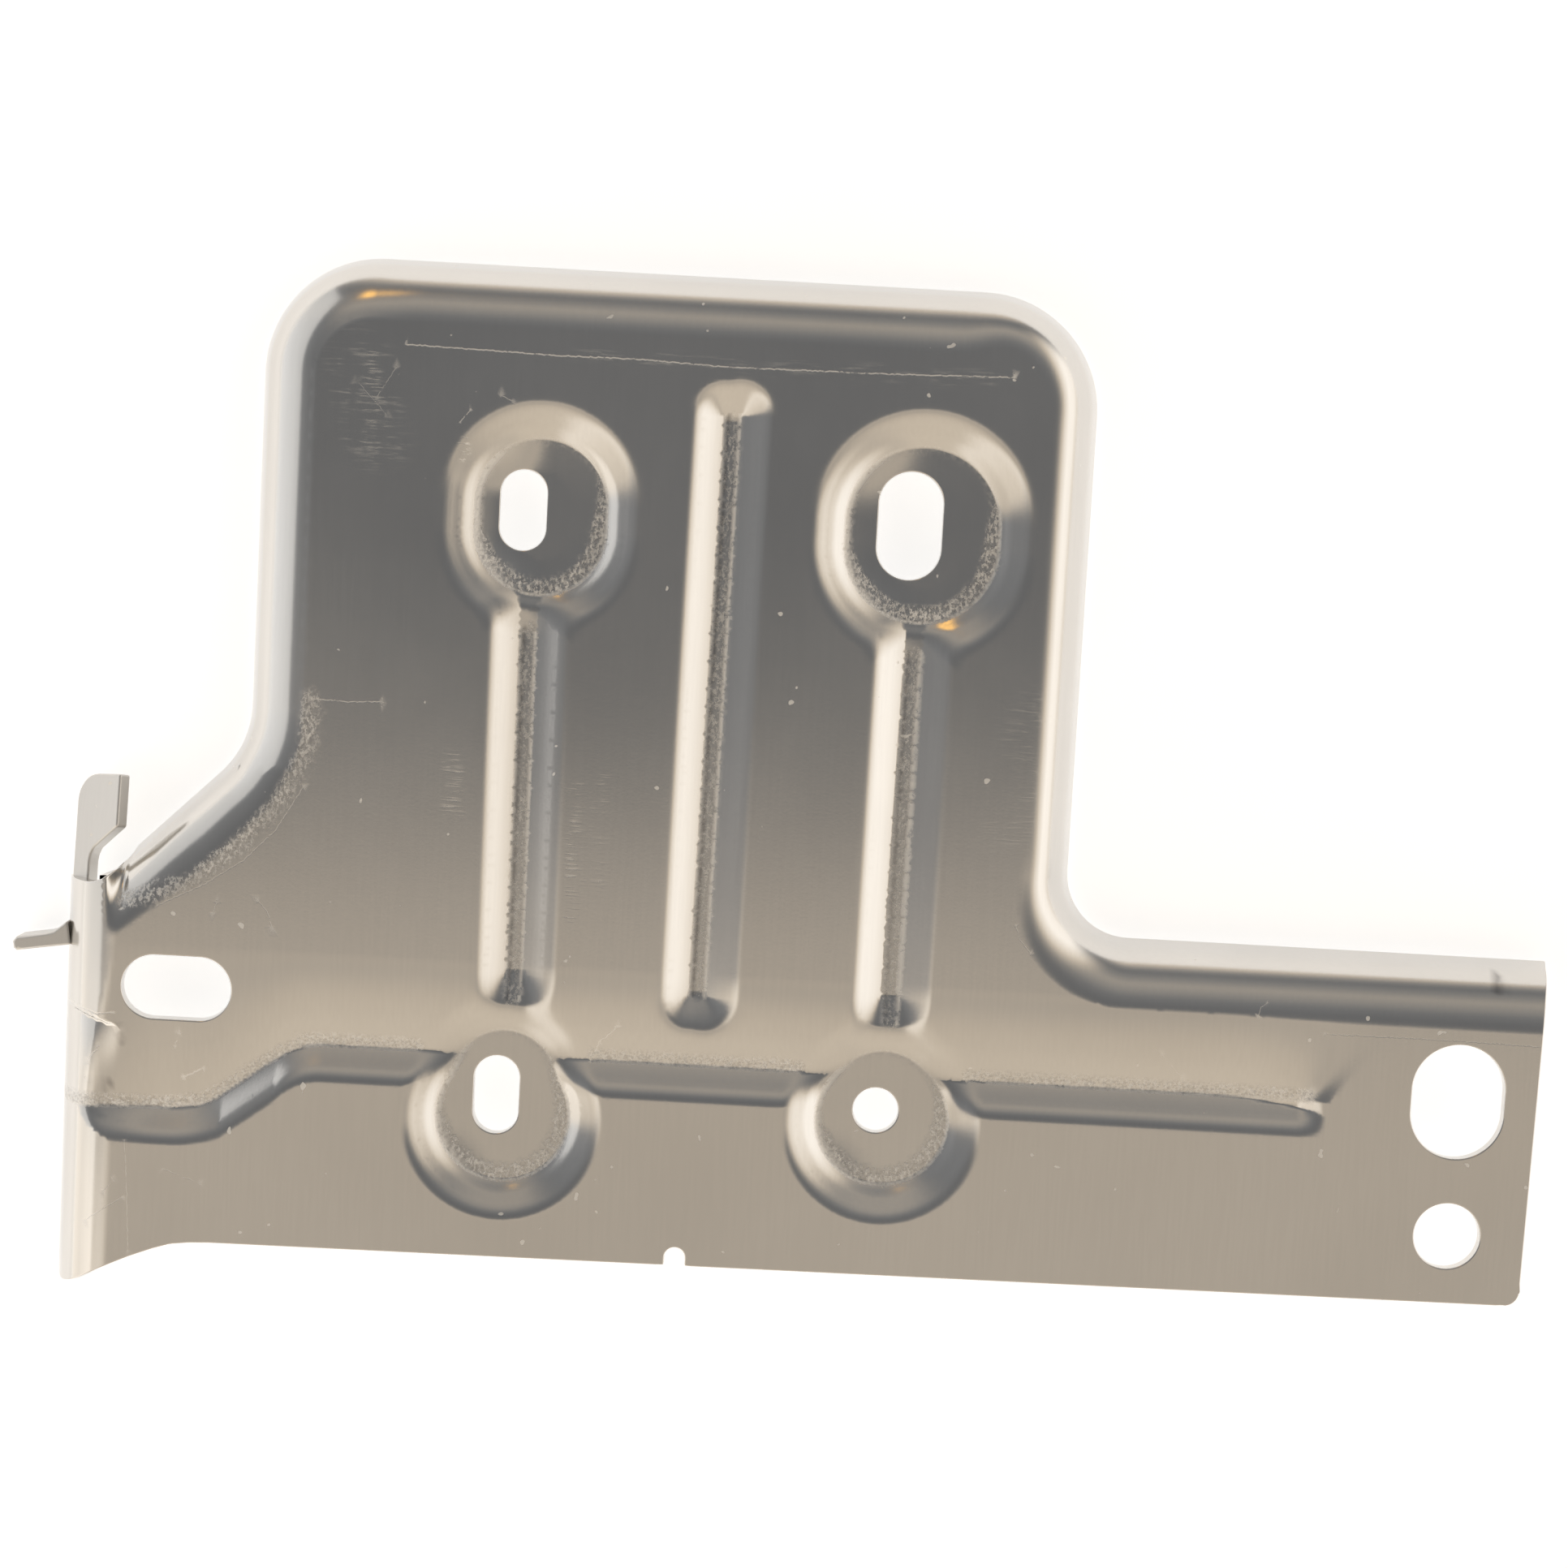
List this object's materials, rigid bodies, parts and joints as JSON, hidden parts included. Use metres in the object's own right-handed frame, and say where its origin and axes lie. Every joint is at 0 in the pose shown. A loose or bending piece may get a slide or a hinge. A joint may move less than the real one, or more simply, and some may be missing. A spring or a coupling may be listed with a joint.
{
  "type": "fender brace",
  "caption": "Pressed aluminium fender brace: a flanged plate with a long side arm, recessed fixing pads with slots, stiffening grooves and a trough, and a small ear at the corner",
  "frame": {"origin": "axis of the round fixing hole, on the mating plane formed by the backs of the recessed pads", "axes": "+X along the arm towards its raw end, +Y up the plate towards its flanged top, +Z out of the front face; it lies front face up on its flange edges"},
  "size_m": [0.2253, 0.1519, 0.0109],
  "materials": {
    "metal": "bare satin sheet with pressing marks"
  },
  "bodies": {
    "root": {"brace": "metal"}
  },
  "joints": []
}
